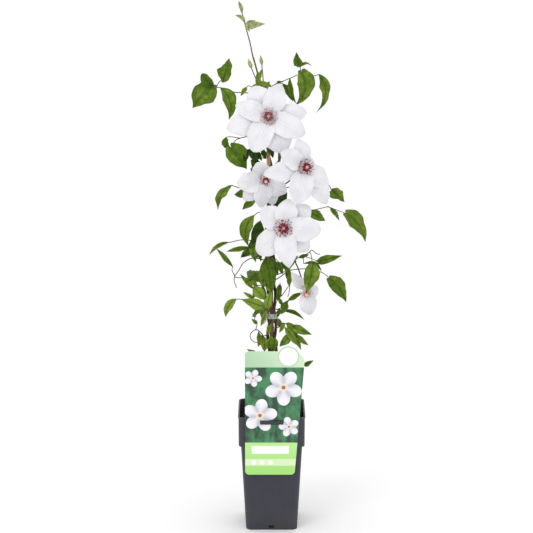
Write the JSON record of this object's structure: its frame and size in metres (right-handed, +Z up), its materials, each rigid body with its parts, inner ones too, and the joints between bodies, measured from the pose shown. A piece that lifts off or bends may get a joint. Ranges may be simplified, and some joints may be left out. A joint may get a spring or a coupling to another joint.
{
  "type": "potted clematis on a cane",
  "caption": "Flowering clematis climbing a bamboo cane in a tall square nursery pot, with white starry blooms, leafy side sprays and a plant label.",
  "frame": {"origin": "middle of the pot's flat underside, on the surface it stands on", "axes": "+Z up along the cane, -Y towards the viewer of the blooms and the label, +X to that viewer's right"},
  "size_m": [0.2488, 0.1448, 0.7676],
  "materials": {
    "pot_plastic": "anthracite moulded plastic, softly worn",
    "potting_soil": "moist dark potting mix with fibres and bark bits",
    "label_card": null,
    "bamboo": "dry tan bamboo",
    "bark": "brown fibrous peeling bark",
    "clear_tie": "clear flexible plastic",
    "leaf": "mid-green leaf, slightly waxy",
    "young_leaf": "pale yellow-green, downy",
    "petal": "white with a faint lilac shade, satin",
    "stamen": "crimson anthers on pale filaments",
    "stalk": "thin green-brown flower stalk"
  },
  "bodies": {
    "root": {"bloom_left_petals": "petal", "bloom_left_stalk": "stalk", "bloom_left_stamens": "stamen", "bloom_low_petals": "petal", "bloom_low_stalk": "stalk", "bloom_low_stamens": "stamen", "bloom_nodding_petals": "petal", "bloom_nodding_stalk": "stalk", "bloom_nodding_stamens": "stamen", "bloom_right_petals": "petal", "bloom_right_stalk": "stalk", "bloom_right_stamens": "stamen", "bloom_top_petals": "petal", "bloom_top_stalk": "stalk", "bloom_top_stamens": "stamen", "bud_left": "young_leaf", "bud_right": "young_leaf", "cane": "bamboo", "label": "label_card", "leader_shoot": "young_leaf", "pot": "pot_plastic", "soil": "potting_soil", "spray_back_crown": "leaf", "spray_back_high": "leaf", "spray_back_left": "leaf", "spray_back_low": "leaf", "spray_back_right": "leaf", "spray_between": "leaf", "spray_crown_left": "leaf", "spray_crown_right": "leaf", "spray_crown_tuft": "leaf", "spray_dark_left": "leaf", "spray_front": "leaf", "spray_heart": "leaf", "spray_left_dark": "leaf", "spray_left_foot": "leaf", "spray_left_hook": "leaf", "spray_left_inner": "leaf", "spray_left_low": "leaf", "spray_left_mid": "leaf", "spray_left_olive": "leaf", "spray_low_front": "leaf", "spray_low_left": "leaf", "spray_low_right": "leaf", "spray_low_side": "leaf", "spray_right_branch": "leaf", "spray_right_foot": "leaf", "spray_right_high": "leaf", "spray_right_large": "leaf", "spray_right_mid": "leaf", "spray_right_narrow": "leaf", "spray_right_twig": "leaf", "stem_1": "bark", "stem_2": "bark", "stem_3": "bark", "tie_lower": "clear_tie", "tie_upper": "clear_tie"}
  },
  "joints": []
}
